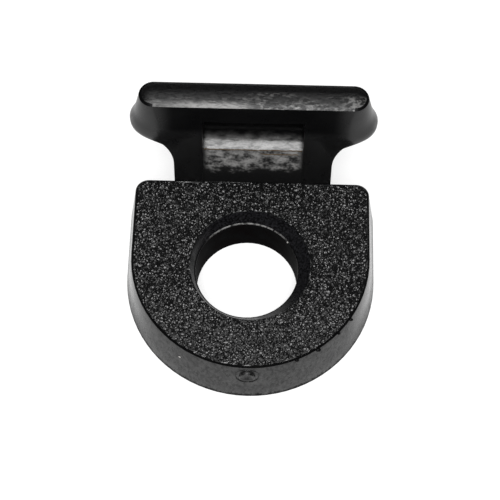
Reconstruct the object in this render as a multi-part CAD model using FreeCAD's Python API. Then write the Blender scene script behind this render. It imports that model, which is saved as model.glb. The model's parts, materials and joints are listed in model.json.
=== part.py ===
"""Screw-down cable tie mount: one piece of moulded nylon.

A D-shaped base plate takes a screw. Behind its straight edge stands a saddle: a leaning web that spreads
into two wings under a rounded bar. A cable tie passes through the channel below the bar, front to back.

Frame: the origin is on the screw hole's axis, on the mounting face. +Z is up, +Y points from the hole towards
the saddle, and X runs across. All sizes are in millimetres and all angles in degrees. Plate and saddle are
drawn about X = 0 and moved, as one body, to their middle line before the hole is cut.
"""
import FreeCAD, Part
import math
import os

# Screw hole: a bore a little left of the plate's middle line, a small rounded ledge, and a smooth lip
bore_diameter = 5.2
bore_off_middle = 0.17
ledge_width = 0.06
lip_width = 0.36
lip_depth = 0.65

# Base plate, measured on its top face
base_width = 12.0
base_thickness = 2.9
nose_centre_from_hole = 0.48
back_edge_from_hole = 4.7
ear_radius = 0.65
wall_draft = 8.7
top_edge_bevel = 0.08

# Tie channel, stacked up from the plate's top face: floor edge, rounded floor, open height, bar
channel_width = 5.08
floor_edge_height = 1.69
floor_rise = 0.31
channel_height = 2.0
bar_thickness = 0.96

# Ramps: the sunk faces between the pillars, which roll back below the floor's edges
ramp_recess = 0.12
ramp_roll_radius = 2.8
ramp_roll_depth = 0.4

# Saddle bar: straight sides and round ends under a crown, growing with draft towards the wings
saddle_from_hole = 6.74
bar_length = 11.28
bar_depth = 1.44
bar_end_draft = 13.0
crown_radius = 1.5

# Wings: the bar's ends flare out to an upright lip over a flat underside, and its sides draw in to a waist
wing_span = 12.46
wing_end_length = 1.6
wing_depth = 2.6
wing_waist = 1.88
wing_thickness = 2.2
wing_flare_height = 1.0
wing_lip_height = 0.25

# Web: its foot starts at about the plate's back edge, and its ends stay inside the wings
web_foot_depth = 4.35
web_top_depth = 1.35
web_bow_radius = 60.0
web_end_inset = 0.2
web_end_draft = 15.0

# Neck: the width that the web is cut to, and the hollow round that leads out to the wings
neck_width = 8.05
wing_root_radius = 1.6

# Gate stub left on the nose wall, with a dished end
gate_diameter = 0.82
gate_below_top = 0.85
gate_proud = 0.1
gate_rim = 0.05
gate_dish = 0.14

# How far a cutting tool runs past the material, and how many steps shape the flare
overrun = 1.0
flare_steps = 4

top_z = base_thickness
floor_height = floor_edge_height + floor_rise
bar_height = floor_height + channel_height + bar_thickness
wing_height = bar_height - wing_thickness
wing_lip_top = wing_height + wing_lip_height
saddle_y = saddle_from_hole
web_lean = math.degrees(math.atan((web_foot_depth - web_top_depth) / 2 / bar_height))


def vec(x, y, z):
    return FreeCAD.Vector(x, y, z)


def sin(angle):
    return math.sin(math.radians(angle))


def cos(angle):
    return math.cos(math.radians(angle))


def tan(angle):
    return sin(angle) / cos(angle)


def line(a, b):
    return Part.LineSegment(a, b).toShape()


def arc(a, through, b):
    return Part.Arc(a, through, b).toShape()


def corner_cut(radius):
    """How far the middle of a quarter round lies from each side of its square corner."""
    return radius * (1 - math.sqrt(0.5))


def plate_outline(grow, z):
    """The plate's D outline at height z, grown all round from the outline of its top face."""
    side = base_width / 2 + grow
    back = back_edge_from_hole + grow
    ear = ear_radius + grow
    cut = corner_cut(ear)
    nose_y = nose_centre_from_hole
    nose = arc(vec(-side, nose_y, z), vec(0, nose_y - side, z), vec(side, nose_y, z))
    right = line(vec(side, nose_y, z), vec(side, back - ear, z))
    right_ear = arc(vec(side, back - ear, z), vec(side - cut, back - cut, z), vec(side - ear, back, z))
    rear = line(vec(side - ear, back, z), vec(-side + ear, back, z))
    left_ear = arc(vec(-side + ear, back, z), vec(-side + cut, back - cut, z), vec(-side, back - ear, z))
    left = line(vec(-side, back - ear, z), vec(-side, nose_y, z))
    return Part.Wire([nose, right, right_ear, rear, left_ear, left])


def base_plate():
    """Drafted D plate with its top edge bevelled."""
    foot_growth = base_thickness * tan(wall_draft)
    plate = Part.makeLoft([plate_outline(foot_growth, 0), plate_outline(0, top_z)], True, True)
    rim = [edge for edge in plate.Edges if edge.BoundBox.ZMin > top_z - top_edge_bevel]
    return plate.makeChamfer(top_edge_bevel, rim)


def ring(radius, x, z):
    """A level circle about the point at x, level with the hole."""
    return Part.Wire(Part.makeCircle(radius, vec(x, 0, z)))


def screw_hole():
    """The space of the hole: bore and ledge about the Z axis, under a lip that leans to the middle line."""
    bore = bore_diameter / 2
    seat = bore + ledge_width
    ledge_z = top_z - lip_depth
    cut = corner_cut(ledge_width)
    bottom = vec(0, 0, -overrun)
    bore_foot = vec(bore, 0, -overrun)
    bore_head = vec(bore, 0, ledge_z - ledge_width)
    lip_foot = vec(seat, 0, ledge_z)
    centre = vec(0, 0, ledge_z)
    ledge = arc(bore_head, vec(bore + cut, 0, ledge_z - cut), lip_foot)
    edges = [line(bottom, bore_foot), line(bore_foot, bore_head), ledge]
    edges += [line(lip_foot, centre), line(centre, bottom)]
    pin = Part.Face(Part.Wire(edges)).revolve(bottom, vec(0, 0, 1), 360)
    stretch = 1 + overrun / lip_depth
    mouth = ring(seat + lip_width * stretch, bore_off_middle * stretch, top_z + overrun)
    return pin.fuse(Part.makeLoft([ring(seat, 0, ledge_z), mouth], True, True))


def bowed_outline(half_length, half_depth, z):
    """Plan of the web: long bowed sides and round ends, four arcs that run into one another."""
    bow_y = web_bow_radius - half_depth
    end_radius = web_bow_radius ** 2 - bow_y ** 2 - half_length ** 2
    end_radius /= 2 * (web_bow_radius - half_length)
    end_x = half_length - end_radius
    reach = end_radius / math.hypot(end_x, bow_y)
    join_x = end_x * (1 + reach)
    join_y = bow_y * reach
    front_left = vec(-join_x, saddle_y - join_y, z)
    front_right = vec(join_x, saddle_y - join_y, z)
    back_right = vec(join_x, saddle_y + join_y, z)
    back_left = vec(-join_x, saddle_y + join_y, z)
    front = arc(front_left, vec(0, saddle_y - half_depth, z), front_right)
    right = arc(front_right, vec(half_length, saddle_y, z), back_right)
    back = arc(back_right, vec(0, saddle_y + half_depth, z), back_left)
    left = arc(back_left, vec(-half_length, saddle_y, z), front_left)
    return Part.Wire([front, right, back, left])


def web():
    """The leaning block that carries the bar, before the neck is cut out of it."""
    sections = []
    for height in (-base_thickness, bar_height):
        half_depth = web_foot_depth / 2 - height * tan(web_lean)
        half_length = wing_span / 2 - web_end_inset - (height - wing_height) * tan(web_end_draft)
        sections.append(bowed_outline(half_length, half_depth, top_z + height))
    return Part.makeLoft(sections, True, True)


def half_oval(x, length, half_depth, z):
    """Half an oval on the saddle's middle line, from x outwards; a negative length points it to the left."""
    shape = FreeCAD.Matrix()
    shape.scale(vec(length, half_depth, 1))
    shape.move(vec(x, saddle_y, z))
    return arc(vec(0, -1, 0), vec(1, 0, 0), vec(0, 1, 0)).transformGeometry(shape)


def waisted_side(half_length, depth, depth_at_waist, z):
    """A side of the bar: it leaves both ends along X and draws in to the waist."""
    side = Part.BSplineCurve()
    points = [vec(-half_length, saddle_y + depth, z), vec(0, saddle_y + depth_at_waist, z)]
    points.append(vec(half_length, saddle_y + depth, z))
    side.interpolate(Points=points, InitialTangent=vec(1, 0, 0), FinalTangent=vec(1, 0, 0))
    return side.toShape()


def bar_outline(half_length, end_length, half_depth, half_waist, z):
    """Plan of the bar: half ovals at the ends, and sides that draw in to a waist."""
    end_x = half_length - end_length
    left = half_oval(-end_x, -end_length, half_depth, z)
    right = half_oval(end_x, end_length, half_depth, z)
    front = waisted_side(end_x, -half_depth, -half_waist, z)
    back = waisted_side(end_x, half_depth, half_waist, z)
    return Part.Wire(Part.__sortEdges__([front, right, back, left]))


def bar_section(height, flare):
    """The bar's plan at a height above the plate: its draft, plus a share of the wings' flare in length."""
    drop = bar_height - min(height, bar_height)
    share = drop / (bar_height - wing_lip_top)
    half_length = bar_length / 2 + drop * tan(bar_end_draft)
    half_length += flare * (wing_span / 2 - half_length)
    half_depth = (bar_depth + share * (wing_depth - bar_depth)) / 2
    half_waist = (bar_depth + share * (wing_waist - bar_depth)) / 2
    end_length = bar_depth / 2 + share * (wing_end_length - bar_depth / 2)
    return bar_outline(half_length, end_length, half_depth, half_waist, top_z + height)


def bar():
    """The rounded bar: upright wing lip, hollow flare and drafted top, under a crown."""
    flare_top = wing_height + wing_flare_height
    flare = []
    for step in range(flare_steps):
        share = step / (flare_steps - 1)
        flare.append(bar_section(wing_lip_top + share * (flare_top - wing_lip_top), (1 - share) ** 2))
    foot_z = top_z + wing_height - overrun
    wing_foot = bar_outline(wing_span / 2, wing_end_length, wing_depth / 2, wing_waist / 2, foot_z)
    lip = Part.makeLoft([wing_foot, flare[0]], True, True)
    hollow = Part.makeLoft(flare, True, False)
    crown_foot = bar_section(bar_height, 0)
    upper = Part.makeLoft([flare[-1], crown_foot, bar_section(bar_height + overrun, 0)], True, True)
    return lip.fuse([hollow, upper]).removeSplitter().cut(above_crown())


def above_crown():
    """What lies over the bar's crown: a slab less a round-ended rod."""
    spine = (bar_length - bar_depth) / 2
    edge_drop = crown_radius - math.sqrt(crown_radius ** 2 - (bar_depth / 2) ** 2)
    axis_z = top_z + bar_height + edge_drop - crown_radius
    reach = spine + 2 * crown_radius
    rod = Part.makeCylinder(crown_radius, 2 * spine, vec(-spine, saddle_y, axis_z), vec(1, 0, 0))
    ends = [Part.makeSphere(crown_radius, vec(side * spine, saddle_y, axis_z)) for side in (-1, 1)]
    slab = Part.makeBox(2 * reach, 4 * crown_radius, 4 * crown_radius,
                        vec(-reach, saddle_y - 2 * crown_radius, axis_z))
    return slab.cut(rod.fuse(ends))


def neck_and_wings():
    """Front view of the saddle, run from front to back: a neck that spreads into the wings."""
    neck = neck_width / 2
    tip = wing_span / 2 + overrun
    root_end = neck + wing_root_radius
    under_z = top_z + wing_height
    root_z = under_z - wing_root_radius
    crest_z = top_z + bar_height + crown_radius
    cut = corner_cut(wing_root_radius)
    front = saddle_y - web_foot_depth - overrun
    edges = []
    for side in (-1, 1):
        neck_head = vec(side * neck, front, root_z)
        wing_start = vec(side * root_end, front, under_z)
        wing_end = vec(side * tip, front, under_z)
        edges.append(line(vec(side * neck, front, 0), neck_head))
        edges.append(arc(neck_head, vec(side * (neck + cut), front, under_z - cut), wing_start))
        edges.append(line(wing_start, wing_end))
        edges.append(line(wing_end, vec(side * tip, front, crest_z)))
    edges.append(line(vec(-tip, front, crest_z), vec(tip, front, crest_z)))
    edges.append(line(vec(-neck, front, 0), vec(neck, front, 0)))
    face = Part.Face(Part.Wire(Part.__sortEdges__(edges)))
    return face.extrude(vec(0, 2 * (saddle_y - front), 0))


def arc_about(centre, a, b):
    """The shorter arc from a to b about a centre."""
    middle = (a + b) / 2 - centre
    middle.normalize()
    return arc(a, centre + middle * (a - centre).Length, b)


def ramps_and_floor():
    """Side view of what stays between the pillars, run across: two ramps that roll to a round floor."""
    foot = web_foot_depth / 2 - ramp_recess
    climb = (floor_edge_height + ramp_roll_depth * sin(web_lean)) / cos(web_lean)
    roll = math.sqrt(2 * ramp_roll_radius * ramp_roll_depth - ramp_roll_depth ** 2)
    side = -channel_width / 2
    crest = vec(side, saddle_y, top_z + floor_height)
    feet = []
    floor_edges = []
    edges = []
    for way in (-1, 1):
        up_ramp = vec(0, -way * sin(web_lean), cos(web_lean))
        into_ramp = vec(0, -way * cos(web_lean), -sin(web_lean))
        start = vec(side, saddle_y + way * foot, top_z)
        roll_start = start + up_ramp * (climb - roll)
        floor_edge = start + up_ramp * climb + into_ramp * ramp_roll_depth
        edges.append(line(start, roll_start))
        edges.append(arc_about(roll_start + into_ramp * ramp_roll_radius, roll_start, floor_edge))
        feet.append(start)
        floor_edges.append(floor_edge)
    edges.append(arc(floor_edges[0], crest, floor_edges[1]))
    edges.append(line(feet[0], feet[1]))
    face = Part.Face(Part.Wire(Part.__sortEdges__(edges)))
    return face.extrude(vec(channel_width, 0, 0))


def tie_channel():
    """The space that the tie runs through: over the ramps and the floor, under the bar's flat underside."""
    length = 2 * (web_foot_depth + overrun)
    space = Part.makeBox(channel_width, length, floor_height + channel_height,
                         vec(-channel_width / 2, saddle_y - length / 2, top_z))
    return space.cut(ramps_and_floor())


def gate_stub():
    """The short round stub where the moulding was parted from its runner, with a dished end."""
    wall_y = nose_centre_from_hole - base_width / 2 - gate_below_top * tan(wall_draft)
    stub_end = vec(0, wall_y - gate_proud, top_z - gate_below_top)
    stub = Part.makeCylinder(gate_diameter / 2, gate_proud + gate_diameter, stub_end, vec(0, 1, 0))
    mouth = gate_diameter / 2 - gate_rim
    dish_radius = (mouth ** 2 + gate_dish ** 2) / (2 * gate_dish)
    dish = Part.makeSphere(dish_radius, stub_end + vec(0, gate_dish - dish_radius, 0))
    return stub, dish


saddle = web().fuse(bar()).common(neck_and_wings()).cut(tie_channel())
stub, dish = gate_stub()
body = base_plate().fuse([saddle, stub]).removeSplitter().cut(dish)
body.translate(vec(bore_off_middle, 0, 0))
mount = body.cut(screw_hole())

os.makedirs("parts", exist_ok=True)
mount.exportStep("parts/mount_body.step")
print("solids", len(mount.Solids), "faces", len(mount.Faces), "valid", mount.isValid())
print("volume in cubic millimetres", round(mount.Volume, 2))
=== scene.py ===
"""Looks of the screw-down cable tie mount: its moulding, its finishes and a plain photo stage.

Everything is in metres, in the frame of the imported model: the screw hole's axis is Z, the mounting
face lies at Z = 0, and the saddle stands on the +Y side.
"""

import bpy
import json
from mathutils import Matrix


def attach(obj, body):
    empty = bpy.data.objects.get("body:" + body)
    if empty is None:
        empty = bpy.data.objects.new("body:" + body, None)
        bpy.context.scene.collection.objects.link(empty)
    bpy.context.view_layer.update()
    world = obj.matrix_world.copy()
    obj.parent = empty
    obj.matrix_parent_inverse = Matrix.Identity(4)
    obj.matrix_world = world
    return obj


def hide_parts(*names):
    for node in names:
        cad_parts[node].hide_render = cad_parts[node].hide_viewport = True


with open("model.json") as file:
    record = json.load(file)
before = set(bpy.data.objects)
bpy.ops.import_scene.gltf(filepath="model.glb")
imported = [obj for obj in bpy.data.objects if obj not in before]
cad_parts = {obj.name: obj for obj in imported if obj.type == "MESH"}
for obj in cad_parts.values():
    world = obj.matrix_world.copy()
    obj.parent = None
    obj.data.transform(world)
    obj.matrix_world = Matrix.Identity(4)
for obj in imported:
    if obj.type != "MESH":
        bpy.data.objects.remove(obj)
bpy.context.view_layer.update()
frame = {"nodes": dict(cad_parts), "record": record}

import json
import math
import random

import bmesh
import bpy
from bpy.props import FloatProperty, FloatVectorProperty, IntProperty, PointerProperty
from mathutils import Matrix, Vector, noise
from mathutils.bvhtree import BVHTree
from mathutils.geometry import delaunay_2d_cdt

bl_info = {
    "name": "Cable Tie Mount",
    "version": (1, 0, 0),
    "blender": (4, 5, 0),
    "location": "3D View > Sidebar > Tie Mount",
    "description": "Dresses a moulded cable tie mount and sets it on a photo stage",
    "category": "Object",
}

MM = 0.001
NEAR = 0.001 * MM
BODY = "root"
NODE = "mount_body"
MOUNTS = {mount["name"]: mount for mount in frame["record"]["mounts"]}
BORE_RADIUS = MOUNTS["screw_hole"]["dims"]["r_mm"] * MM
MIDDLE = MOUNTS["tie_channel"]["pos_m"][0]

# Finish zones of the moulding, in the order of its material slots
WALL, TOP, LIP, LEDGE, BORE_WALL, SADDLE, FLOOR, RAMP, CROWN, RIM = range(10)

# Slopes that tell the finish zones apart, each as the Z of a face's normal
LEVEL_SLOPE = 0.999
CROWN_SLOPE = 0.87
CROWN_EDGE_SLOPE = 0.1
FLOOR_SLOPE = 0.76
BEVEL_SLOPE = 0.3
BACK_EDGE_SLOPE = 0.2
FOOT_SLOPES = (-0.9, -0.2)


class MouldingSettings(bpy.types.PropertyGroup):
    """Sizes of the moulding that its edges and finish zones need."""

    plate_thickness: FloatProperty(
        name="Plate thickness", description="Height of the plate's top face over the mounting face",
        default=2.9 * MM, unit="LENGTH")
    plate_back: FloatProperty(
        name="Plate back", description="Distance from the hole's axis to the plate's straight back edge",
        default=4.7 * MM, unit="LENGTH")
    middle_line: FloatProperty(
        name="Middle line", description="X of the middle line of the plate and the saddle",
        default=MIDDLE, unit="LENGTH")
    lip_radius: FloatProperty(
        name="Lip radius", description="Radius of the hole's smooth lip where it meets the top face",
        default=BORE_RADIUS + 0.42 * MM, unit="LENGTH")
    lip_depth: FloatProperty(
        name="Lip depth", description="Depth of the hole's smooth lip below the top face",
        default=0.65 * MM, unit="LENGTH")
    ledge_width: FloatProperty(
        name="Ledge width", description="Radius of the rounded ledge between the bore and the lip",
        default=0.06 * MM, unit="LENGTH")
    edge_radius: FloatProperty(
        name="Edge radius", description="Rounding of the moulding's sharp edges",
        default=0.05 * MM, unit="LENGTH")
    edge_angle: FloatProperty(
        name="Edge angle", description="Two faces that meet at more than this are a sharp edge",
        default=math.radians(32), subtype="ANGLE")
    edge_segments: IntProperty(
        name="Edge segments", description="Faces across a rounded edge", default=3, min=1)
    # Painted shade: the bevel round the plate's top edge gets weak reflections, a dark line along the edge
    bevel_depth: FloatProperty(
        name="Bevel depth", description="Depth of the bevel round the plate's top edge that gets painted shade",
        default=0.15 * MM, unit="LENGTH")
    channel_width: FloatProperty(
        name="Channel width", description="Width of the tie channel",
        default=5.08 * MM, unit="LENGTH")
    floor_crest: FloatProperty(
        name="Floor crest", description="Height of the channel floor's crest over the mounting face",
        default=4.9 * MM, unit="LENGTH")
    crown_rim: FloatProperty(
        name="Crown rim", description="Height over the mounting face at which the bar's crown begins",
        default=7.86 * MM, unit="LENGTH")
    # Painted shade: a dark border at the two ends of the bar's crown, made by weak reflections
    rim_width: FloatProperty(
        name="Rim width", description="Width of the border at the ends of the bar's crown that gets painted shade",
        default=0.15 * MM, unit="LENGTH")
    rim_start: FloatProperty(
        name="Rim start", description="Distance from the middle line at which the crown's painted-shade border begins",
        default=4.9 * MM, unit="LENGTH")
    grain_step: FloatProperty(
        name="Grain step", description="Spacing of the net of points that carries the grain",
        default=0.055 * MM, unit="LENGTH")
    grain_size: FloatProperty(
        name="Grain size", description="Width of one swell of the spark-eroded grain",
        default=0.11 * MM, unit="LENGTH")
    grain_depth: FloatProperty(
        name="Grain depth", description="Height of the spark-eroded grain",
        default=0.028 * MM, unit="LENGTH")
    grain_seed: IntProperty(
        name="Grain seed", description="Seed of the grain's net of points", default=7)


class NylonSettings(bpy.types.PropertyGroup):
    """Colour and surface of the black nylon."""

    colour: FloatVectorProperty(
        name="Nylon", description="Colour of the moulded nylon",
        size=4, subtype="COLOR", default=(0.0025, 0.0025, 0.0027, 1.0))
    bore_colour: FloatVectorProperty(
        name="Bore", description="Warmer colour of the bore's wall",
        size=4, subtype="COLOR", default=(0.0024, 0.0016, 0.0017, 1.0))
    # Pale nylon: real flecks and scratches, but mostly painted highlights, glints and reflections on the
    # ledge, crown, ramp and channel floor
    scuff_and_highlight_colour: FloatVectorProperty(
        name="Scuffs and painted highlights", description="Pale colour for flecks and scratches, and for painted highlights, glints and reflections",
        size=4, subtype="COLOR", default=(0.22, 0.217, 0.213, 1.0))
    fleck_colour: FloatVectorProperty(
        name="Flecks", description="Paler flecks of the hole's lip",
        size=4, subtype="COLOR", default=(0.016, 0.016, 0.018, 1.0))
    flash_colour: FloatVectorProperty(
        name="Flash", description="Thin brownish flash along the channel floor's edge",
        size=4, subtype="COLOR", default=(0.085, 0.055, 0.028, 1.0))
    speck_colour: FloatVectorProperty(
        name="Specks", description="Pale specks of dust",
        size=4, subtype="COLOR", default=(0.5, 0.48, 0.46, 1.0))
    refraction: FloatProperty(
        name="Refraction", description="Index of refraction of nylon", default=1.47)
    # Painted shade: reflections all but taken away in the bore and in the wall's shaded copy
    deep_shade_shine: FloatProperty(
        name="Deep shade shine", description="Weak reflections that paint shade in the bore, on the wall's foot and in the wall's darker mottles",
        default=0.005, subtype="FACTOR")
    wall_shine: FloatProperty(
        name="Wall shine", description="Share of the sides' shine that the front of the plate's wall has",
        default=0.55, subtype="FACTOR")
    # Painted reflection: the lit copy of the wall's nylon that lightens the top of its sides
    side_shine: FloatProperty(
        name="Side shine", description="Strength of the reflections at the top of the plate's side walls",
        default=0.9, subtype="FACTOR")
    lip_shine: FloatProperty(
        name="Lip shine", description="Strength of the hole lip's reflections",
        default=0.06, subtype="FACTOR")
    # Painted shade: the weak reflections of the bar's front, the floor's back, the crown's back and the dark
    # rims
    shade_shine: FloatProperty(
        name="Shade shine", description="Weak reflections that paint shade on the bar's front, the floor's back, the crown and the rims",
        default=0.06, subtype="FACTOR")
    crown_shine: FloatProperty(
        name="Crown shine", description="Strength of the crown's reflections",
        default=0.36, subtype="FACTOR")
    floor_shine: FloatProperty(
        name="Floor shine", description="Strength of the channel floor's reflections",
        default=0.58, subtype="FACTOR")
    ramp_shine: FloatProperty(
        name="Ramp shine", description="Strength of the ramps' reflections",
        default=0.25, subtype="FACTOR")
    grain_roughness: FloatProperty(
        name="Grain roughness", description="Roughness of each facet of the grain",
        default=0.22, subtype="FACTOR")
    satin_roughness: FloatProperty(
        name="Satin roughness", description="Roughness of the walls and wings",
        default=0.3, subtype="FACTOR")
    polish_roughness: FloatProperty(
        name="Polish roughness", description="Roughness of the channel's floor",
        default=0.22, subtype="FACTOR")
    ramp_roughness: FloatProperty(
        name="Ramp roughness", description="Roughness of the dull ramps below the channel's floor",
        default=0.6, subtype="FACTOR")
    bore_roughness: FloatProperty(
        name="Bore roughness", description="Roughness of the bore's wall",
        default=0.55, subtype="FACTOR")
    satin_depth: FloatProperty(
        name="Satin depth", description="Height of the fine unevenness of the walls",
        default=0.002 * MM, unit="LENGTH")
    mottle_depth: FloatProperty(
        name="Mottle depth", description="Height of the ramps' mottling",
        default=0.02 * MM, unit="LENGTH")


class FlashSettings(bpy.types.PropertyGroup):
    """Small leavings of the moulding: flash, nibs and specks."""

    thread: FloatProperty(
        name="Thread", description="Radius of the thread of flash", default=0.028 * MM, unit="LENGTH")
    step: FloatProperty(
        name="Step", description="Spacing of the thread's points", default=0.04 * MM, unit="LENGTH")
    waver: FloatProperty(
        name="Waver", description="How far the thread wavers from its line",
        default=0.11 * MM, unit="LENGTH")
    lump: FloatProperty(
        name="Lump", description="Length of one swing of the thread", default=0.35 * MM, unit="LENGTH")
    seed: IntProperty(name="Seed", description="Seed of the flash and the nibs", default=3)
    floor_reach: FloatProperty(
        name="Floor reach", description="Half the length of the channel floor's flash",
        default=2.5 * MM, unit="LENGTH")
    floor_edge: FloatVectorProperty(
        name="Floor edge", description="Y and Z of the channel floor's front edge",
        size=2, default=(5.614 * MM, 4.59 * MM), unit="LENGTH")
    second_drop: FloatProperty(
        name="Second drop", description="Drop of the second, shorter line of flash",
        default=0.2 * MM, unit="LENGTH")
    gate: FloatVectorProperty(
        name="Gate", description="Middle of the gate's stub on the plate's nose",
        size=3, default=(0.17 * MM, -5.75 * MM, 2.05 * MM), subtype="XYZ", unit="LENGTH")
    ring_radius: FloatProperty(
        name="Ring radius", description="Radius of the witness ring round the gate",
        default=0.61 * MM, unit="LENGTH")
    nose_radius: FloatProperty(
        name="Nose radius", description="Radius of the plate's round nose",
        default=5.95 * MM, unit="LENGTH")
    nose_centre: FloatProperty(
        name="Nose centre", description="Y of the middle of the plate's round nose",
        default=0.48 * MM, unit="LENGTH")
    nib_radius: FloatProperty(
        name="Nib radius", description="Radius of a nib on the plate's top edge",
        default=0.11 * MM, unit="LENGTH")


class StageSettings(bpy.types.PropertyGroup):
    """Camera, lamps and floor."""

    camera_elevation: FloatProperty(
        name="Elevation", description="Camera's height angle over the mounting face",
        default=math.radians(66), subtype="ANGLE")
    camera_azimuth: FloatProperty(
        name="Azimuth", description="Camera's turn to the right of the part's front",
        default=math.radians(1.75), subtype="ANGLE")
    camera_roll: FloatProperty(
        name="Roll", description="Camera's turn about its line of sight",
        default=math.radians(-0.2), subtype="ANGLE")
    camera_distance: FloatProperty(
        name="Distance", description="Camera's distance from the origin",
        default=69.33 * MM, unit="LENGTH")
    focal_length: FloatProperty(
        name="Focal length", description="Lens on a 36 mm wide sensor, in millimetres", default=95.63)
    shift_across: FloatProperty(
        name="Shift across", description="Sideways shift of the frame, in frame widths", default=0.0064)
    shift_up: FloatProperty(
        name="Shift up", description="Upward shift of the frame, in frame widths", default=0.0756)
    floor_colour: FloatVectorProperty(
        name="Floor", description="Colour of the floor where lamps light it",
        size=4, subtype="COLOR", default=(0.42, 0.42, 0.42, 1.0))
    floor_glow: FloatProperty(
        name="Floor glow", description="White that the floor adds where the camera sees it",
        default=0.67, subtype="FACTOR")
    mirrored_glow: FloatProperty(
        name="Mirrored glow", description="Share of the floor's glow that shows in reflections",
        default=0.866, subtype="FACTOR")
    key_power: FloatProperty(
        name="Key power", description="Power of the soft lamp over the camera", default=2.3, unit="POWER")
    top_power: FloatProperty(
        name="Top power", description="Power of the wide lamp overhead", default=1.0, unit="POWER")
    room_light: FloatProperty(
        name="Room light", description="Brightness of the dim room", default=0.1, subtype="FACTOR")


class Wire:
    """A node's output that takes part in expressions: an operator on values adds a Math node."""

    def __init__(self, nodes, socket):
        self.nodes = nodes
        self.socket = socket

    def math(self, operation, first, second):
        return self.nodes.add("ShaderNodeMath", {"operation": operation}, {0: first, 1: second})

    def __add__(self, other):
        return self.math("ADD", self, other)

    def __radd__(self, other):
        return self.math("ADD", other, self)

    def __sub__(self, other):
        return self.math("SUBTRACT", self, other)

    def __rsub__(self, other):
        return self.math("SUBTRACT", other, self)

    def __mul__(self, other):
        return self.math("MULTIPLY", self, other)

    def __rmul__(self, other):
        return self.math("MULTIPLY", other, self)

    def __truediv__(self, other):
        return self.math("DIVIDE", self, other)

    def __rtruediv__(self, other):
        return self.math("DIVIDE", other, self)

    def __abs__(self):
        return self.math("ABSOLUTE", self, 0.0)


class Nodes:
    """A node tree in the making."""

    def __init__(self, tree):
        self.tree = tree
        tree.nodes.clear()

    def add(self, kind, settings=None, values=None, output=0):
        """Adds a node, its settings first and then its sockets' values or links, and gives one output."""
        made = self.tree.nodes.new(kind)
        for name, setting in (settings or {}).items():
            setattr(made, name, setting)
        for name, value in (values or {}).items():
            if isinstance(value, Wire):
                self.tree.links.new(value.socket, made.inputs[name])
            else:
                made.inputs[name].default_value = value
        return Wire(self, made.outputs[output]) if made.outputs else None

    def place(self):
        """The point on the surface."""
        return self.add("ShaderNodeTexCoord", output="Object")

    def axis(self, name):
        """X, Y or Z of the point on the surface."""
        return self.add("ShaderNodeSeparateXYZ", None, {0: self.place()}, output=name)

    def off_middle(self):
        """Distance of the point on the surface from the middle line of the plate and the saddle."""
        return abs(self.axis("X") - MIDDLE)

    def noise(self, size, detail=2.0, stretch=None):
        """Noise whose lumps are about size wide, stretched along the axes where asked."""
        place = self.place()
        if stretch:
            drawn_out = {"Vector": place, "Scale": stretch}
            place = self.add("ShaderNodeMapping", {"vector_type": "TEXTURE"}, drawn_out)
        return self.add("ShaderNodeTexNoise", None, {"Vector": place, "Scale": 1 / size, "Detail": detail})

    def step(self, value, start, end):
        """Rises smoothly from 0 at start to 1 at end."""
        ends = {"Value": value, "From Min": start, "From Max": end}
        return self.add("ShaderNodeMapRange", {"interpolation_type": "SMOOTHSTEP"}, ends)

    def fall(self, value, start, end):
        """Falls smoothly from 1 at start to 0 at end."""
        return 1.0 - self.step(value, start, end)

    def blend(self, share, first, second):
        """A colour between two colours."""
        return self.add("ShaderNodeMix", {"data_type": "RGBA"}, {0: share, 6: first, 7: second}, output=2)

    def bump(self, height, depth):
        """Normal of an uneven surface."""
        return self.add("ShaderNodeBump", None, {"Strength": 1.0, "Distance": depth, "Height": height})

    def mix(self, share, first, second):
        """A shader between two shaders."""
        return self.add("ShaderNodeMixShader", None, {0: share, 1: first, 2: second})

    def surface(self, shader):
        """Ends a material in its shader."""
        self.add("ShaderNodeOutputMaterial", None, {"Surface": shader})


def finish(name):
    """A new material and its node tree."""
    material = bpy.data.materials.new(name)
    material.use_nodes = True
    return material, Nodes(material.node_tree)


def swing(uneven, width):
    """A noise, which lies between 0 and 1, as a swing about 0."""
    return width * (uneven - 0.5)


def nylon_shader(nodes, nylon, colour, roughness, normal, shine=0.5):
    """Black nylon; a shine of 0.5 is that of the bare material."""
    values = {
        "Base Color": colour, "Roughness": roughness, "IOR": nylon.refraction, "Normal": normal,
        "Specular IOR Level": shine,
    }
    return nodes.add("ShaderNodeBsdfPrincipled", None, values)


def grained_top(nylon):
    """Facets of the spark-eroded grain on the plate's top face."""
    material, nodes = finish("spark_eroded_nylon")
    patches = nodes.noise(2.5 * MM, detail=2.0)
    fine = nodes.noise(0.03 * MM, detail=1.0)
    roughness = nylon.grain_roughness + swing(patches, 0.12)
    normal = nodes.bump(fine, nylon.satin_depth)
    nodes.surface(nylon_shader(nodes, nylon, nylon.colour, roughness, normal))
    return material


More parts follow.
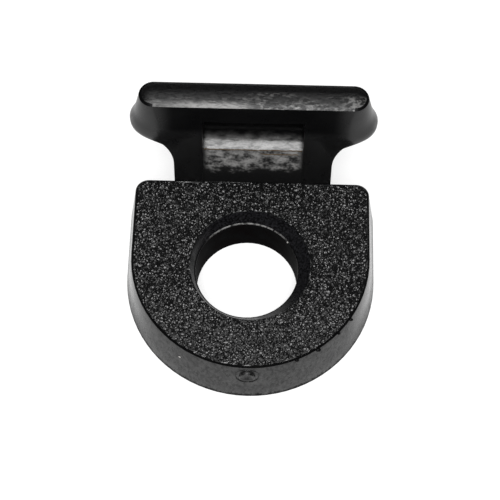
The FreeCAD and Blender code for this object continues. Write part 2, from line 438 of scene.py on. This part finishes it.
def satin_wall(nylon):
    """Plate's drafted wall: mottled in front, painted reflection atop its sides, painted shade at its foot.
    """
    foot_span = (0.1 * MM, 0.3 * MM)
    upper_span = (0.0, 1.7 * MM)
    side_span = (4.7 * MM, 6.2 * MM)
    material, nodes = finish("satin_nylon")
    fine = nodes.noise(0.07 * MM, detail=2.0, stretch=(1.0, 1.0, 2.5))
    broad = nodes.noise(0.9 * MM, detail=4.0)
    flecks = nodes.noise(0.16 * MM, detail=4.0, stretch=(1.0, 1.0, 1.8))
    up = nodes.axis("Z")
    # Painted shade: the shaded copy takes over along the foot; painted reflection: the lit copy grows
    # towards the top of the sides
    foot = nodes.fall(up + swing(flecks, 0.5 * MM), *foot_span)
    upper = 0.1 + 0.9 * nodes.step(up, *upper_span)
    side = nodes.step(nodes.off_middle(), *side_span)
    colour = nodes.blend(0.06 * nodes.step(flecks, 0.3, 0.75), nylon.colour, nylon.scuff_and_highlight_colour)
    roughness = nylon.satin_roughness + swing(broad, 0.3) + swing(flecks, 0.4)
    roughness = roughness * (1.0 - 0.4 * side)
    normal = nodes.bump(7.0 * fine + 5.0 * broad, nylon.satin_depth)
    shaded = nylon_shader(nodes, nylon, colour, roughness, normal, nylon.deep_shade_shine)
    bright = nylon_shader(nodes, nylon, colour, roughness, normal, nylon.side_shine)
    mottled = nylon.wall_shine * (0.2 + 1.6 * flecks)
    share = (1.0 - 0.8 * foot) * (mottled * (1.0 - side) + side * upper)
    nodes.surface(nodes.mix(share, shaded, bright))
    return material


def smooth_lip(nylon):
    """Smooth lip of the screw hole, faintly uneven."""
    material, nodes = finish("smooth_lip_nylon")
    broad = nodes.noise(0.8 * MM, detail=3.0)
    fine = nodes.noise(0.1 * MM, detail=3.0)
    colour = nodes.blend(nodes.step(fine, 0.35, 0.7), nylon.colour, nylon.fleck_colour)
    roughness = nylon.satin_roughness + swing(broad, 0.1) + swing(fine, 0.2)
    normal = nodes.bump(fine, 4.0 * nylon.satin_depth)
    nodes.surface(nylon_shader(nodes, nylon, colour, roughness, normal, nylon.lip_shine))
    return material


def ledge_with_painted_glint(nylon):
    """Ledge between the bore and the lip, with a painted glint: pale colour along its far side."""
    far_span = (1.4 * MM, 2.4 * MM)
    material, nodes = finish("ledge_nylon")
    mottle = nodes.noise(0.2 * MM, detail=3.0)
    # Painted glint: the pale colour on the far side stands in for the ledge's highlight
    painted_highlight = nodes.step(nodes.axis("Y"), *far_span) * nodes.step(mottle, 0.3, 0.6)
    colour = nodes.blend(painted_highlight, nylon.colour, nylon.scuff_and_highlight_colour)
    roughness = nylon.satin_roughness + swing(mottle, 0.2)
    normal = nodes.bump(mottle, nylon.satin_depth)
    nodes.surface(nylon_shader(nodes, nylon, colour, roughness, normal, nylon.lip_shine))
    return material


def dark_rim(nylon):
    """Crown's ends, the plate's top bevel and foot, and the nibs: weak reflections, painted shade as dark
    outlines.
    """
    material, nodes = finish("rim_shade_nylon")
    fine = nodes.noise(0.1 * MM, detail=3.0)
    roughness = nylon.satin_roughness + swing(fine, 0.2)
    normal = nodes.bump(fine, nylon.satin_depth)
    nodes.surface(nylon_shader(nodes, nylon, nylon.colour, roughness, normal, nylon.shade_shine))
    return material


def plain_grit(name, colour, nylon):
    """Flash and specks, slightly uneven in colour."""
    material, nodes = finish(name)
    mottle = nodes.noise(0.08 * MM, detail=3.0)
    shade = nodes.blend(nodes.step(mottle, 0.1, 0.5), nylon.colour, colour)
    roughness = nylon.ramp_roughness + swing(mottle, 0.2)
    normal = nodes.bump(mottle, nylon.satin_depth)
    nodes.surface(nylon_shader(nodes, nylon, shade, roughness, normal, nylon.ramp_shine))
    return material


def shaded_bore(nylon):
    """Wall of the bore, faintly brown in broad patches, its reflections all but taken away: painted shade in
    the hole.
    """
    material, nodes = finish("bore_shade_nylon")
    broad = nodes.noise(0.8 * MM, detail=3.0)
    colour = nodes.blend(nodes.step(broad, 0.35, 0.65), nylon.colour, nylon.bore_colour)
    roughness = nylon.bore_roughness + swing(broad, 0.2)
    normal = nodes.bump(nodes.noise(0.12 * MM), nylon.satin_depth)
    nodes.surface(nylon_shader(nodes, nylon, colour, roughness, normal, nylon.deep_shade_shine))
    return material


def saddle_satin(nylon):
    """Satin pillars and wings; the bar's front between the wings has weak reflections, painted shade."""
    wing_span = (3.9 * MM, 4.9 * MM)
    bar_span = (5.9 * MM, 6.5 * MM)
    material, nodes = finish("satin_saddle_nylon")
    fine = nodes.noise(0.1 * MM, detail=2.0)
    broad = nodes.noise(0.7 * MM, detail=3.0)
    roughness = nylon.satin_roughness + swing(fine, 0.1) + swing(broad, 0.15)
    normal = nodes.bump(fine, nylon.satin_depth)
    # Painted shade on the bar's front between the wings, by mixing in a copy with weak reflections
    bar_shade = nodes.fall(nodes.off_middle(), *wing_span) * nodes.step(nodes.axis("Z"), *bar_span)
    satin = nylon_shader(nodes, nylon, nylon.colour, roughness, normal)
    shaded = nylon_shader(nodes, nylon, nylon.colour, roughness, normal, nylon.shade_shine)
    nodes.surface(nodes.mix(bar_shade, satin, shaded))
    return material


def channel_floor(nylon):
    """Floor of the tie channel: glossy in front with pale painted highlight patches, and painted shade
    towards its back.
    """
    polish_span = (6.15 * MM, 6.5 * MM)
    patch_span = (5.8 * MM, 6.65 * MM)
    end_span = (2.3 * MM, 2.6 * MM)
    material, nodes = finish("polished_floor_nylon")
    mottle = nodes.noise(0.13 * MM, detail=5.0, stretch=(2.5, 1.0, 1.0))
    blotch = nodes.noise(0.3 * MM, detail=3.0, stretch=(1.8, 1.0, 1.0))
    along = nodes.axis("Y")
    # Painted shade: the shaded copy takes over towards the back; painted highlight: pale patches over the
    # front
    front = nodes.fall(along, *polish_span)
    painted_highlight = nodes.fall(along + swing(mottle, 0.6 * MM), *patch_span)
    inside = nodes.fall(nodes.off_middle() + swing(mottle, 0.4 * MM), *end_span)
    painted_patches = inside * painted_highlight * nodes.step(0.4 * mottle + 0.6 * blotch, 0.3, 0.68)
    colour = nodes.blend(painted_patches, nylon.colour, nylon.scuff_and_highlight_colour)
    roughness = nylon.polish_roughness + swing(mottle, 0.3) + swing(blotch, 0.3)
    normal = nodes.bump(mottle, 2.0 * nylon.satin_depth)
    shaded = nylon_shader(nodes, nylon, colour, roughness, normal, nylon.shade_shine)
    polished = nylon_shader(nodes, nylon, colour, roughness, normal, nylon.floor_shine)
    share = front * inside * (0.5 + 0.5 * nodes.step(0.5 * mottle + 0.5 * blotch, 0.38, 0.6))
    nodes.surface(nodes.mix(share, shaded, polished))
    return material


def channel_ramp(nylon):
    """Ramps off the channel floor; the front one has painted reflection down to a ragged line above its
    foot.
    """
    foot_span = (3.58 * MM, 4.12 * MM)
    end_span = (2.2 * MM, 2.6 * MM)
    back_span = (6.5 * MM, 7.0 * MM)
    material, nodes = finish("ramp_painted_reflection_nylon")
    mottle = nodes.noise(0.09 * MM, detail=3.0, stretch=(1.5, 1.0, 1.0))
    blotch = nodes.noise(0.3 * MM, detail=4.0, stretch=(1.8, 1.0, 1.0))
    ragged = swing(blotch, 1.0 * MM) + swing(mottle, 0.4 * MM)
    above = nodes.step(nodes.axis("Z") + ragged, *foot_span)
    inside = nodes.fall(nodes.off_middle() + swing(blotch, 0.4 * MM), *end_span)
    front = nodes.fall(nodes.axis("Y"), *back_span)
    # Painted reflection: pale patches on the front ramp stand in for what it mirrors
    painted_patches = inside * nodes.step(0.35 * mottle + 0.65 * blotch, 0.34, 0.68)
    colour = nodes.blend(front * above * painted_patches, nylon.colour, nylon.scuff_and_highlight_colour)
    roughness = nylon.ramp_roughness + swing(mottle, 0.3)
    normal = nodes.bump(mottle, nylon.mottle_depth)
    nodes.surface(nylon_shader(nodes, nylon, colour, roughness, normal, nylon.ramp_shine))
    return material


def crown_with_painted_highlights(nylon):
    """Bar's crown: painted shade behind, painted reflection and highlights in front, a few pale scratches.
    """
    left_span = (-0.9 * MM, 0.3 * MM)
    bright_span = (-4.4 * MM, -2.6 * MM)
    streak_span = (6.1 * MM, 6.42 * MM)
    spot_span = (6.2 * MM, 6.9 * MM)
    scratch_start, scratch_end = (-0.3 * MM, 0.2 * MM), (1.9 * MM, 2.6 * MM)
    scratch_line, scratch_span = 6.75 * MM, (0.05 * MM, 0.16 * MM)
    end_start, end_span = (4.3 * MM, 4.9 * MM), (6.55 * MM, 6.85 * MM)
    dim_span = (6.2 * MM, 7.1 * MM)
    material, nodes = finish("crown_painted_highlight_nylon")
    rubs = nodes.noise(0.05 * MM, detail=4.0, stretch=(6.0, 1.0, 1.0))
    blotch = nodes.noise(0.16 * MM, detail=4.0, stretch=(1.6, 1.0, 1.0))
    patches = nodes.noise(0.55 * MM, detail=2.0, stretch=(1.5, 1.0, 1.0))
    fine = nodes.noise(0.06 * MM, detail=2.0)
    across, along = nodes.axis("X"), nodes.axis("Y")
    # Painted reflection: a pale lamp streak along the left front; painted highlights: blotches further right
    # and at the right end
    left = nodes.fall(across + swing(blotch, 1.5 * MM), *left_span)
    reflection_streak = left * nodes.fall(along + swing(blotch, 0.4 * MM), *streak_span)
    bright = nodes.step(across, *bright_span) * reflection_streak
    highlight_spots = nodes.fall(along + swing(blotch, 0.8 * MM), *spot_span) * nodes.step(rubs, 0.36, 0.66)
    highlight_spots = highlight_spots * nodes.step(blotch, 0.4, 0.64) * nodes.step(patches, 0.42, 0.6)
    # A few pale scratches in the middle of the crown
    scratches = nodes.step(across, *scratch_start) * nodes.fall(across, *scratch_end)
    scratches = scratches * nodes.fall(abs(along - scratch_line), *scratch_span) * nodes.step(rubs, 0.5, 0.6)
    end = nodes.step(across, *end_start) * nodes.fall(along, *end_span)
    painted_highlights_and_scratches = (0.3 * reflection_streak + 0.9 * bright) * nodes.step(rubs, 0.2, 0.6)
    painted_highlights_and_scratches = painted_highlights_and_scratches + (1.0 - 0.6 * left) * highlight_spots + 0.3 * scratches
    painted_highlights_and_scratches = painted_highlights_and_scratches + 0.5 * end * nodes.step(blotch, 0.4, 0.62)
    colour = nodes.blend(painted_highlights_and_scratches, nylon.colour, nylon.scuff_and_highlight_colour)
    roughness = nylon.satin_roughness + 0.2 * (blotch - 0.45) + swing(rubs, 0.25) + swing(fine, 0.15)
    normal = nodes.bump(fine + 2.0 * rubs + 3.0 * blotch, 2.0 * nylon.satin_depth)
    painted_highlight = nylon_shader(nodes, nylon, colour, roughness, normal, nylon.crown_shine)
    shaded = nylon_shader(nodes, nylon, colour, roughness, normal, nylon.shade_shine)
    # Painted shade: the crown's reflections fade towards its back, with random blotches of weaker reflection
    dim = nodes.step(along + swing(blotch, 0.4 * MM), *dim_span)
    share = 0.25 * dim + 0.5 * (1.0 - dim) * nodes.fall(blotch, 0.42, 0.58)
    nodes.surface(nodes.mix(share, painted_highlight, shaded))
    return material


def zone_of(face, moulding):
    """The finish zone that a face of the moulding belongs to."""
    centre = face.calc_center_median()
    slope = face.normal.z
    across = centre.x - moulding.middle_line
    top, back, radius = moulding.plate_thickness, moulding.plate_back, moulding.edge_radius
    saddle_gap = 0.5 * MM
    if abs(centre.z - top) < NEAR and slope > LEVEL_SLOPE:
        return TOP
    if math.hypot(across, centre.y) < moulding.lip_radius + radius and centre.z > NEAR:
        below_lip = top - moulding.lip_depth - centre.z
        if below_lip < -NEAR:
            return LIP
        return LEDGE if below_lip < moulding.ledge_width else BORE_WALL
    # Painted shadow: the back edge's bevel, in the saddle foot's shade, gets the lip's weak reflections
    at_back_edge = abs(centre.y - back) < 2 * radius and abs(centre.z - top) < 2.2 * radius
    if at_back_edge and slope > BACK_EDGE_SLOPE:
        return LIP
    if centre.z > moulding.crown_rim - radius and slope > CROWN_EDGE_SLOPE:
        return CROWN if slope > CROWN_SLOPE else RIM
    in_channel = abs(across) < moulding.channel_width / 2 - NEAR
    if in_channel and top < centre.z < moulding.floor_crest + NEAR and centre.y > back:
        return FLOOR if slope > FLOOR_SLOPE else RAMP
    # Painted shade: the foot's rounding and the top edge's bevel get the rim's weak reflections, dark
    # outlines
    if centre.z < 1.1 * radius and FOOT_SLOPES[0] < slope < FOOT_SLOPES[1]:
        return RIM
    if 0 < top - centre.z < moulding.bevel_depth and slope > BEVEL_SLOPE and centre.y < back:
        return RIM
    if centre.z > top or centre.y > back + saddle_gap:
        return SADDLE
    return WALL


def border_crown(shape, moulding):
    """Cuts a narrow border off the crown; at its two ends the border gets painted shade."""
    crown = [face for face in shape.faces if face.material_index == CROWN]
    border = bmesh.ops.inset_region(
        shape, faces=crown, thickness=moulding.rim_width, use_boundary=True, use_even_offset=True)["faces"]
    for face in border:
        across = abs(face.calc_center_median().x - moulding.middle_line)
        face.material_index = RIM if across > moulding.rim_start else CROWN
        face.smooth = True


def net_points(faces, moulding):
    """Points of a jittered net over flat level faces, about half a step clear of their outline."""
    step = moulding.grain_step
    margin = 0.45 * step
    slack = step / 20
    jitter = 0.3
    corners = [vert.co for face in faces for vert in face.verts]
    polygons = []
    for face in faces:
        start = sum(len(polygon) for polygon in polygons)
        polygons.append(list(range(start, start + len(face.verts))))
    tree = BVHTree.FromPolygons(corners, polygons)
    chance = random.Random(moulding.grain_seed)
    around = [Vector((x * margin, y * margin, 0)) for x, y in ((1, 0), (-1, 0), (0, 1), (0, -1))]
    left, front = min(corner.x for corner in corners), min(corner.y for corner in corners)
    low = Vector((left, front, moulding.plate_thickness))
    across = int((max(corner.x for corner in corners) - low.x) / step)
    along = int((max(corner.y for corner in corners) - low.y) / step)
    points = []
    for row in range(along):
        for column in range(across):
            shift = Vector((chance.uniform(-jitter, jitter), chance.uniform(-jitter, jitter), 0))
            point = low + (Vector((column + row % 2 / 2, row, 0)) + shift) * step
            if all(tree.find_nearest(point + way)[3] < slack for way in around):
                points.append(point)
    return points


def grain_height(point, moulding, chance):
    """Height of the grain over the plain top face: its own at each point, on low swells, worn in front."""
    wear_start, wear_run, wear = -1 * MM, 3 * MM, 0.35
    swell = noise.noise(point / moulding.grain_size)
    worn = min(max((wear_start - point.y) / wear_run, 0), 1)
    return moulding.grain_depth * (1 - wear * worn) * (chance.uniform(-1, 1) + 0.5 * swell)


def grain_rim(shape):
    """The edges between the top face and its neighbours."""
    return [edge for edge in shape.edges
            if sum(face.material_index == TOP for face in edge.link_faces) == 1]


def split_rim(shape, longest):
    """Splits the edges round the top face, so that no long thin triangle starts from them."""
    for edge in grain_rim(shape):
        parts = math.ceil(edge.calc_length() / longest)
        for left in range(parts, 1, -1):
            edge, _ = bmesh.utils.edge_split(edge, edge.verts[0], 1 / left)


def raise_grain(shape, moulding):
    """Puts a fine net of triangles, raised and sunk as the grain, in the place of the plain top face."""
    inside_only, same_point = 1, 1e-9
    split_rim(shape, 2 * moulding.grain_step)
    plain = [face for face in shape.faces if face.material_index == TOP]
    rim = grain_rim(shape)
    verts = list(dict.fromkeys(vert for edge in rim for vert in edge.verts))
    number = {vert: index for index, vert in enumerate(verts)}
    links = [tuple(number[vert] for vert in edge.verts) for edge in rim]
    rim_count = len(verts)
    points = net_points(plain, moulding)
    chance = random.Random(moulding.grain_seed + 1)
    bmesh.ops.delete(shape, geom=plain, context="FACES")
    flat = [vert.co.xy for vert in verts] + [point.xy for point in points]
    for vert in verts:
        vert.co.z -= chance.uniform(0, moulding.grain_depth)
    for point in points:
        verts.append(shape.verts.new(point + Vector((0, 0, grain_height(point, moulding, chance)))))
    places, _, triangles, sources, _, _ = delaunay_2d_cdt(flat, links, [], inside_only, same_point)
    hole = Vector((moulding.middle_line, 0))
    for triangle in triangles:
        corners = [sources[index][0] for index in triangle]
        centre = sum((places[index] for index in triangle), Vector((0, 0))) / 3
        if max(corners) < rim_count and (centre - hole).length < moulding.lip_radius:
            continue
        face = shape.faces.new([verts[corner] for corner in corners])
        face.material_index = TOP
        face.smooth = False


class TIEMOUNT_OT_moulding(bpy.types.Operator):
    """Make the moulding from the frame's solid, with eased edges and its finish zones"""

    bl_idname = "tie_mount.moulding"
    bl_label = "Moulding"

    def execute(self, context):
        moulding = context.scene.tie_mount_moulding
        nylon = context.scene.tie_mount_nylon
        flat_angle = math.radians(0.2)
        shape = bmesh.new()
        shape.from_mesh(frame["nodes"][NODE].data)
        bmesh.ops.remove_doubles(shape, verts=shape.verts, dist=NEAR)
        bmesh.ops.dissolve_limit(shape, angle_limit=flat_angle, verts=shape.verts, edges=shape.edges)
        sharp = [edge for edge in shape.edges if edge.calc_face_angle() > moulding.edge_angle]
        bmesh.ops.bevel(
            shape, geom=sharp, offset=moulding.edge_radius, offset_type="OFFSET", affect="EDGES",
            segments=moulding.edge_segments, profile=0.5, clamp_overlap=True, loop_slide=True)
        shape.normal_update()
        for face in shape.faces:
            face.smooth = True
            face.material_index = zone_of(face, moulding)
        border_crown(shape, moulding)
        raise_grain(shape, moulding)
        mesh = bpy.data.meshes.new("moulding")
        shape.to_mesh(mesh)
        shape.free()
        finishes = {
            WALL: satin_wall, TOP: grained_top, LIP: smooth_lip, LEDGE: ledge_with_painted_glint,
            BORE_WALL: shaded_bore, SADDLE: saddle_satin, FLOOR: channel_floor, RAMP: channel_ramp,
            CROWN: crown_with_painted_highlights, RIM: dark_rim,
        }
        for zone in sorted(finishes):
            mesh.materials.append(finishes[zone](nylon))
        piece = bpy.data.objects.new("moulding", mesh)
        context.scene.collection.objects.link(piece)
        weighted = piece.modifiers.new("flat faces stay flat", "WEIGHTED_NORMAL")
        weighted.keep_sharp = True
        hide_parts(NODE)
        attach(piece, BODY)
        return {"FINISHED"}


def on_moulding(points):
    """The nearest places on the frame's solid to some points."""
    solid = frame["nodes"][NODE].data
    corners = [vert.co for vert in solid.vertices]
    tree = BVHTree.FromPolygons(corners, [tuple(face.vertices) for face in solid.polygons])
    return [tree.find_nearest(Vector(point))[0] for point in points]


class Grower(Nodes):
    """A Geometry Nodes tree in the making, with named inputs."""

    def __init__(self, name, inputs):
        super().__init__(bpy.data.node_groups.new(name, "GeometryNodeTree"))
        sockets = self.tree.interface
        sockets.new_socket("Geometry", in_out="INPUT", socket_type="NodeSocketGeometry")
        sockets.new_socket("Geometry", in_out="OUTPUT", socket_type="NodeSocketGeometry")
        for label, kind in inputs.items():
            sockets.new_socket(label, in_out="INPUT", socket_type=kind)
        self.entry = self.tree.nodes.new("NodeGroupInput")

    def given(self, label):
        """One of the tree's inputs."""
        return Wire(self, self.entry.outputs[label])

    def close(self, geometry):
        """Ends the tree in Realize Instances and Set Material."""
        real = self.add("GeometryNodeRealizeInstances", None, {0: geometry})
        paint = {"Geometry": real, "Material": self.given("Material")}
        dressed = self.add("GeometryNodeSetMaterial", None, paint)
        self.add("NodeGroupOutput", None, {"Geometry": dressed})


def flash_tree():
    """A wavering thread along each line of edges."""
    grow = Grower("flash", {
        "Thread": "NodeSocketFloat", "Step": "NodeSocketFloat", "Waver": "NodeSocketFloat",
        "Lump": "NodeSocketFloat", "Seed": "NodeSocketFloat", "Material": "NodeSocketMaterial"})
    line = grow.add("GeometryNodeMeshToCurve", None, {0: grow.given("Geometry")})
    spacing = {"Curve": line, "Length": grow.given("Step")}
    line = grow.add("GeometryNodeResampleCurve", {"mode": "LENGTH"}, spacing)
    place = grow.add("GeometryNodeInputPosition")
    lumps = {"Vector": place, "W": grow.given("Seed"), "Scale": 1.0 / grow.given("Lump"), "Detail": 2.0}
    waver = grow.add("ShaderNodeTexNoise", {"noise_dimensions": "4D"}, lumps, output="Color")
    waver = grow.add("ShaderNodeVectorMath", {"operation": "SUBTRACT"}, {0: waver, 1: (0.5, 0.5, 0.5)})
    reach = {0: waver, "Scale": grow.given("Waver")}
    shift = grow.add("ShaderNodeVectorMath", {"operation": "SCALE"}, reach)
    line = grow.add("GeometryNodeSetPosition", None, {"Geometry": line, "Offset": shift})
    thickness = grow.add("ShaderNodeTexNoise", {"noise_dimensions": "4D"}, lumps)
    line = grow.add("GeometryNodeSetCurveRadius", None, {"Curve": line, "Radius": 2.0 * thickness})
    circle = {"Resolution": 6, "Radius": grow.given("Thread")}
    outline = grow.add("GeometryNodeCurvePrimitiveCircle", None, circle)
    sweep = {"Curve": line, "Profile Curve": outline, "Fill Caps": True}
    grow.close(grow.add("GeometryNodeCurveToMesh", None, sweep))
    return grow.tree


def nib_tree():
    """A small uneven lump on each point."""
    grow = Grower("nibs", {
        "Radius": "NodeSocketFloat", "Seed": "NodeSocketInt", "Material": "NodeSocketMaterial"})
    points = grow.add("GeometryNodeMeshToPoints", None, {0: grow.given("Geometry")})
    ball = {"Radius": grow.given("Radius"), "Subdivisions": 2}
    lump = grow.add("GeometryNodeMeshIcoSphere", None, ball)
    limits = {"Seed": grow.given("Seed"), "Min": (0.6, 0.6, 0.5), "Max": (1.6, 1.2, 1.0)}
    size = grow.add("FunctionNodeRandomValue", {"data_type": "FLOAT_VECTOR"}, limits)
    spread = {"Points": points, "Instance": lump, "Scale": size}
    grow.close(grow.add("GeometryNodeInstanceOnPoints", None, spread))
    return grow.tree


def grown_piece(context, name, mesh, tree, values):
    """Runs a Geometry Nodes tree on a mesh, and hands in what grew as a plain mesh."""
    seed_piece = bpy.data.objects.new(name, mesh)
    context.scene.collection.objects.link(seed_piece)
    grow = seed_piece.modifiers.new("grow", "NODES")
    grow.node_group = tree
    for socket in tree.interface.items_tree:
        if socket.in_out == "INPUT" and socket.name in values:
            grow[socket.identifier] = values[socket.name]
    context.view_layer.update()
    evaluated = seed_piece.evaluated_get(context.evaluated_depsgraph_get())
    grown = bpy.data.meshes.new_from_object(evaluated)
    if not grown.polygons:
        raise RuntimeError(name + " has grown nothing")
    seed_piece.modifiers.clear()
    seed_piece.data = grown
    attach(seed_piece, BODY)


def line_mesh(name, lines):
    """A mesh of edges only, one run for each line of points."""
    verts = [point for line in lines for point in line]
    edges = []
    start = 0
    for line in lines:
        edges += [(start + index, start + index + 1) for index in range(len(line) - 1)]
        start += len(line)
    mesh = bpy.data.meshes.new(name)
    mesh.from_pydata(verts, edges, [])
    return mesh


def floor_lines(flash, middle):
    """The channel floor's front edge, and a shorter line below the right of it."""
    steps = 80
    right_run = slice(46, 78)
    lean = 0.4
    edge_y, edge_z = flash.floor_edge
    across = [middle + flash.floor_reach * (2 * step / steps - 1) for step in range(steps + 1)]
    upper = [(x, edge_y, edge_z) for x in across]
    lower = [(x, edge_y - lean * flash.second_drop, edge_z - flash.second_drop) for x in across[right_run]]
    return [on_moulding(upper), on_moulding(lower)]


def gate_circle(flash):
    """A closed ring round the gate's stub."""
    steps = 48
    x, y, z = flash.gate
    radius = flash.ring_radius
    turns = [math.tau * step / steps for step in range(steps + 1)]
    return on_moulding([(x + radius * math.cos(turn), y, z + radius * math.sin(turn)) for turn in turns])


class TIEMOUNT_OT_flash(bpy.types.Operator):
    """Lay the thin flash along the channel floor's edge and the witness ring round the gate"""

    bl_idname = "tie_mount.flash"
    bl_label = "Flash"

    def execute(self, context):
        flash = context.scene.tie_mount_flash
        nylon = context.scene.tie_mount_nylon
        middle = context.scene.tie_mount_moulding.middle_line
        tree = flash_tree()
        values = {
            "Thread": flash.thread, "Step": flash.step, "Waver": flash.waver, "Lump": flash.lump,
            "Seed": float(flash.seed), "Material": plain_grit("brown_flash", nylon.flash_colour, nylon)}
        edge = line_mesh("floor_flash", floor_lines(flash, middle))
        grown_piece(context, "floor_flash", edge, tree, values)
        values["Material"] = satin_wall(nylon)
        values["Waver"] = 0.0
        ring = line_mesh("gate_ring", [gate_circle(flash)])
        grown_piece(context, "gate_ring", ring, tree, values)
        return {"FINISHED"}


def nib_places(flash, moulding):
    """Places along the plate's top edge, to the right of its nose."""
    drop = 0.15 * MM
    turns = [math.radians(angle) for angle in (-33.1, -42.1, -55.1, -66.3)]
    return on_moulding([
        (moulding.middle_line + flash.nose_radius * math.cos(turn),
         flash.nose_centre + flash.nose_radius * math.sin(turn),
         moulding.plate_thickness - drop) for turn in turns])


def dust_places():
    """Two places: on the left of the plate's wall, and below the hole's lip."""
    return on_moulding([(-3.2 * MM, -4.69 * MM, 1.9 * MM), (2.05 * MM, 1.62 * MM, 2.2 * MM)])


class TIEMOUNT_OT_nibs(bpy.types.Operator):
    """Set the small nibs on the plate's top edge and the specks of dust"""

    bl_idname = "tie_mount.nibs"
    bl_label = "Nibs and specks"

    def execute(self, context):
        flash = context.scene.tie_mount_flash
        moulding = context.scene.tie_mount_moulding
        nylon = context.scene.tie_mount_nylon
        speck_share = 0.55
        tree = nib_tree()
        values = {"Radius": flash.nib_radius, "Seed": flash.seed, "Material": dark_rim(nylon)}
        nibs = line_mesh("edge_nibs", [nib_places(flash, moulding)])
        grown_piece(context, "edge_nibs", nibs, tree, values)
        values["Radius"] = speck_share * flash.nib_radius
        values["Material"] = plain_grit("pale_speck", nylon.speck_colour, nylon)
        grown_piece(context, "dust_specks", line_mesh("dust_specks", [dust_places()]), tree, values)
        return {"FINISHED"}


def aim(place, target):
    """Matrix of a lamp at place that shines at target."""
    turn = (target - place).to_track_quat("-Z", "Y")
    return Matrix.Translation(place) @ turn.to_matrix().to_4x4()


def soft_lamp(context, name, place, size, power):
    """A wide lamp that shines at the origin."""
    lamp = bpy.data.lights.new(name, "AREA")
    lamp.shape = "RECTANGLE"
    lamp.size, lamp.size_y = size
    lamp.energy = power
    made = bpy.data.objects.new(name, lamp)
    made.matrix_world = aim(Vector(place), Vector((0, 0, 0)))
    context.scene.collection.objects.link(made)


def seen_or_mirrored(nodes, stage):
    """1 for what the camera sees straight, less for its mirror image, and 0 for light on the object."""
    kinds = ("Is Camera Ray", "Is Glossy Ray", "Is Transmission Ray")
    seen, glossy, through = [nodes.add("ShaderNodeLightPath", output=kind) for kind in kinds]
    return seen + stage.mirrored_glow * (glossy + through)


def pale_floor(context, stage):
    """A wide floor just under the mounting face, white where nothing shades it."""
    reach = 3.0
    level = -0.01 * MM
    mesh = bpy.data.meshes.new("floor")
    corners = ((-reach, -reach), (reach, -reach), (reach, reach), (-reach, reach))
    mesh.from_pydata([(x, y, level) for x, y in corners], [], [(0, 1, 2, 3)])
    floor = bpy.data.objects.new("floor", mesh)
    context.scene.collection.objects.link(floor)
    material, nodes = finish("pale_floor")
    paint = {
        "Base Color": stage.floor_colour, "Roughness": 0.9, "Specular IOR Level": 0.0,
        "Emission Color": nodes.blend(seen_or_mirrored(nodes, stage), (0, 0, 0, 1), (1, 1, 1, 1)),
        "Emission Strength": stage.floor_glow,
    }
    nodes.surface(nodes.add("ShaderNodeBsdfPrincipled", None, paint))
    mesh.materials.append(material)


def room(context, stage):
    """A dim, even room that lights the part from all round."""
    world = bpy.data.worlds.new("room")
    world.use_nodes = True
    nodes = Nodes(world.node_tree)
    light = nodes.add("ShaderNodeBackground", None, {"Color": (1, 1, 1, 1), "Strength": stage.room_light})
    nodes.add("ShaderNodeOutputWorld", None, {"Surface": light})
    context.scene.world = world


def photo_camera(context, stage):
    """The camera of the photo, turned and shifted as that was."""
    camera = bpy.data.cameras.new("photo_camera")
    camera.sensor_width = 36.0
    camera.lens = stage.focal_length
    camera.shift_x = stage.shift_across
    camera.shift_y = stage.shift_up
    camera.clip_start = 1 * MM
    azimuth, elevation = stage.camera_azimuth, stage.camera_elevation
    level = math.cos(elevation)
    back = Vector((math.sin(azimuth) * level, -math.cos(azimuth) * level, math.sin(elevation)))
    right = Vector((math.cos(azimuth), math.sin(azimuth), 0))
    up = back.cross(right)
    turn = Matrix((right, up, back)).transposed() @ Matrix.Rotation(stage.camera_roll, 3, "Z")
    made = bpy.data.objects.new("photo_camera", camera)
    made.matrix_world = Matrix.Translation(back * stage.camera_distance) @ turn.to_4x4()
    context.scene.collection.objects.link(made)
    context.scene.camera = made


class TIEMOUNT_OT_stage(bpy.types.Operator):
    """Set the pale floor, the soft lamps, the room and the camera"""

    bl_idname = "tie_mount.stage"
    bl_label = "Stage"

    def execute(self, context):
        stage = context.scene.tie_mount_stage
        key_place, key_size = (0.0, -0.20, 0.45), (0.21, 0.34)
        top_place, top_size = (0.0, 0.12, 0.485), (0.50, 0.325)
        pale_floor(context, stage)
        room(context, stage)
        soft_lamp(context, "key_lamp", key_place, key_size, stage.key_power)
        soft_lamp(context, "top_lamp", top_place, top_size, stage.top_power)
        photo_camera(context, stage)
        context.scene.view_settings.view_transform = "Standard"
        return {"FINISHED"}


class TIEMOUNT_PT_sidebar(bpy.types.Panel):
    """Lists the steps that dress the cable tie mount"""

    bl_label = "Cable Tie Mount"
    bl_idname = "TIEMOUNT_PT_sidebar"
    bl_space_type = "VIEW_3D"
    bl_region_type = "UI"
    bl_category = "Tie Mount"

    def draw(self, context):
        for operator in OPERATORS:
            self.layout.operator(operator.bl_idname)


SETTINGS = {
    "tie_mount_moulding": MouldingSettings,
    "tie_mount_nylon": NylonSettings,
    "tie_mount_flash": FlashSettings,
    "tie_mount_stage": StageSettings,
}
OPERATORS = (TIEMOUNT_OT_moulding, TIEMOUNT_OT_flash, TIEMOUNT_OT_nibs, TIEMOUNT_OT_stage)
CLASSES = (*SETTINGS.values(), *OPERATORS, TIEMOUNT_PT_sidebar)


def register():
    for item in CLASSES:
        bpy.utils.register_class(item)
    for name, group in SETTINGS.items():
        setattr(bpy.types.Scene, name, PointerProperty(type=group))


def unregister():
    for name in SETTINGS:
        delattr(bpy.types.Scene, name)
    for item in reversed(CLASSES):
        bpy.utils.unregister_class(item)


def main():
    register()
    bpy.ops.tie_mount.moulding()
    bpy.ops.tie_mount.flash()
    bpy.ops.tie_mount.nibs()
    bpy.ops.tie_mount.stage()


if __name__ == "__main__":
    main()
